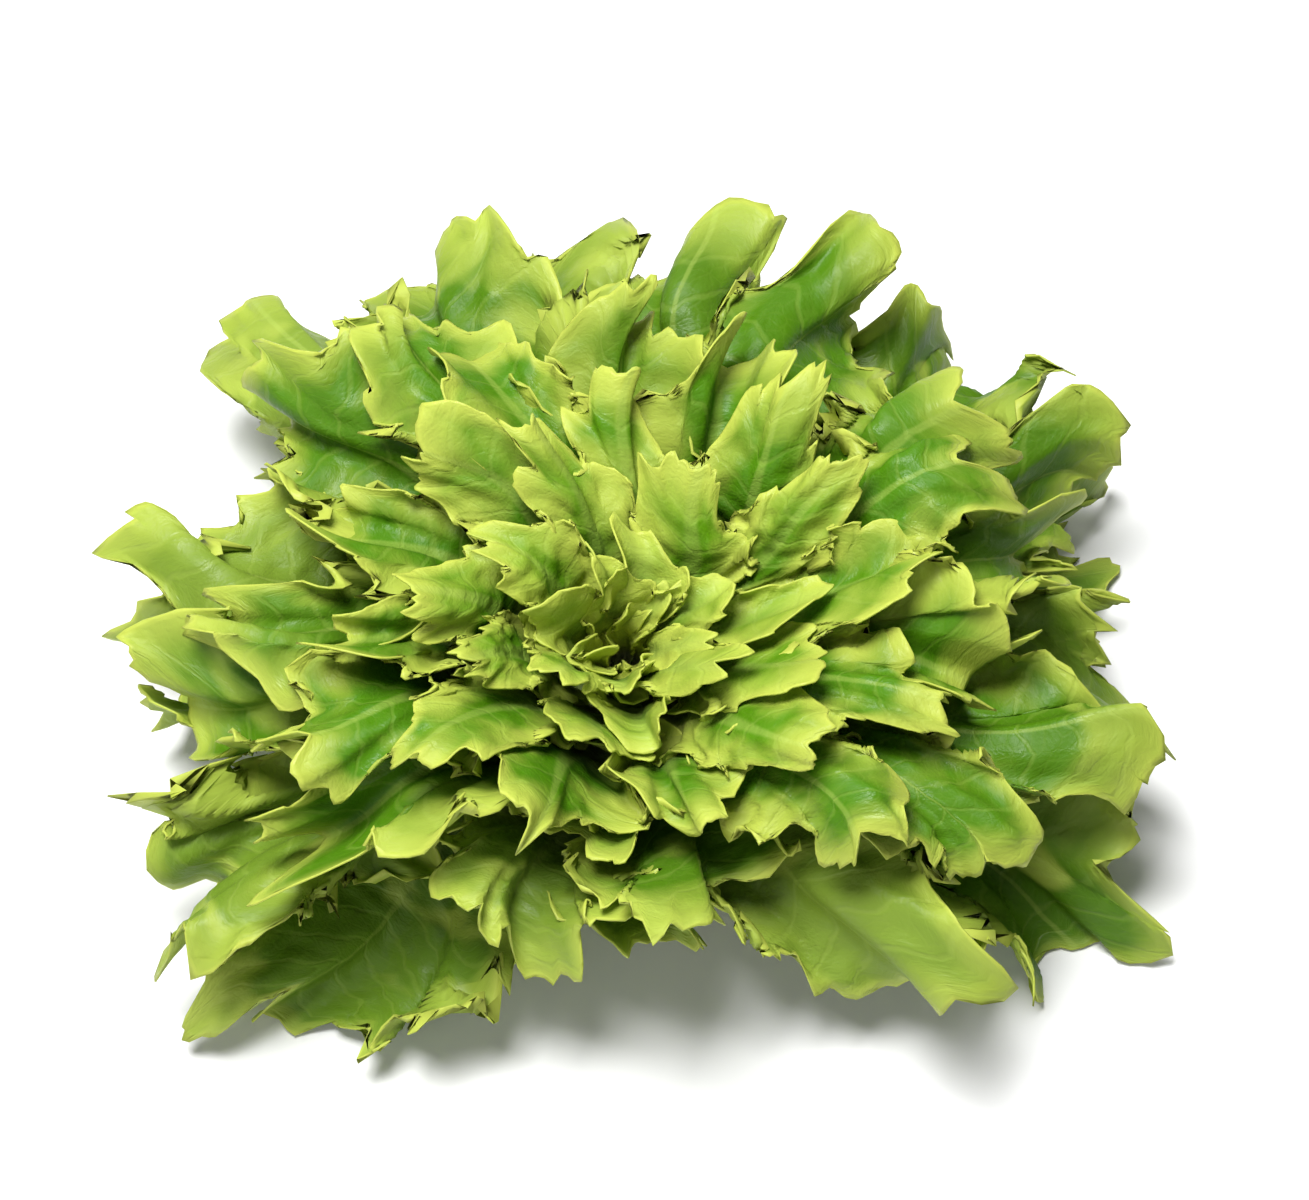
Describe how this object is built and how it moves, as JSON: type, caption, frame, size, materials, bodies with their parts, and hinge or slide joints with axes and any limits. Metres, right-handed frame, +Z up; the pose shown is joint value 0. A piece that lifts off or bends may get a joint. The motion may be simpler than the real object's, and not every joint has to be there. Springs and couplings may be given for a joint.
{
  "type": "endive head",
  "caption": "Cut head of broad-leaved endive: a spiral rosette of waved, toothed leaves round a pale heart, resting on its cut crown.",
  "frame": {"origin": "middle of the flat cut face under the crown, on the surface that the head rests on", "axes": "+Z up through the crown; -Y towards the side to which the middle of the head mostly leans"},
  "size_m": [0.3261, 0.2706, 0.1277],
  "materials": {
    "crown": "satin",
    "heart": "satin",
    "inner_leaf": "satin",
    "middle_leaf": "satin",
    "outer_leaf": "satin"
  },
  "bodies": {
    "root": {"crown": "crown", "heart": "heart", "inner_leaf_01": "inner_leaf", "inner_leaf_02": "inner_leaf", "inner_leaf_03": "inner_leaf", "inner_leaf_04": "inner_leaf", "inner_leaf_05": "inner_leaf", "inner_leaf_06": "inner_leaf", "inner_leaf_07": "inner_leaf", "inner_leaf_08": "inner_leaf", "inner_leaf_09": "inner_leaf", "inner_leaf_10": "inner_leaf", "inner_leaf_11": "inner_leaf", "inner_leaf_12": "inner_leaf", "inner_leaf_13": "inner_leaf", "inner_leaf_14": "inner_leaf", "inner_leaf_15": "inner_leaf", "inner_leaf_16": "inner_leaf", "inner_leaf_17": "inner_leaf", "inner_leaf_18": "inner_leaf", "middle_leaf_01": "middle_leaf", "middle_leaf_02": "middle_leaf", "middle_leaf_03": "middle_leaf", "middle_leaf_04": "middle_leaf", "middle_leaf_05": "middle_leaf", "middle_leaf_06": "middle_leaf", "middle_leaf_07": "middle_leaf", "middle_leaf_08": "middle_leaf", "middle_leaf_09": "middle_leaf", "middle_leaf_10": "middle_leaf", "middle_leaf_11": "middle_leaf", "middle_leaf_12": "middle_leaf", "middle_leaf_13": "middle_leaf", "middle_leaf_14": "middle_leaf", "middle_leaf_15": "middle_leaf", "middle_leaf_16": "middle_leaf", "middle_leaf_17": "middle_leaf", "middle_leaf_18": "middle_leaf", "middle_leaf_19": "middle_leaf", "outer_leaf_01": "outer_leaf", "outer_leaf_02": "outer_leaf", "outer_leaf_03": "outer_leaf", "outer_leaf_04": "outer_leaf", "outer_leaf_05": "outer_leaf", "outer_leaf_06": "outer_leaf", "outer_leaf_07": "outer_leaf", "outer_leaf_08": "outer_leaf", "outer_leaf_09": "outer_leaf", "outer_leaf_10": "outer_leaf", "outer_leaf_11": "outer_leaf", "outer_leaf_12": "outer_leaf", "outer_leaf_13": "outer_leaf", "outer_leaf_14": "outer_leaf", "outer_leaf_15": "outer_leaf", "outer_leaf_16": "outer_leaf", "outer_leaf_17": "outer_leaf", "outer_leaf_18": "outer_leaf", "outer_leaf_19": "outer_leaf"}
  },
  "joints": []
}
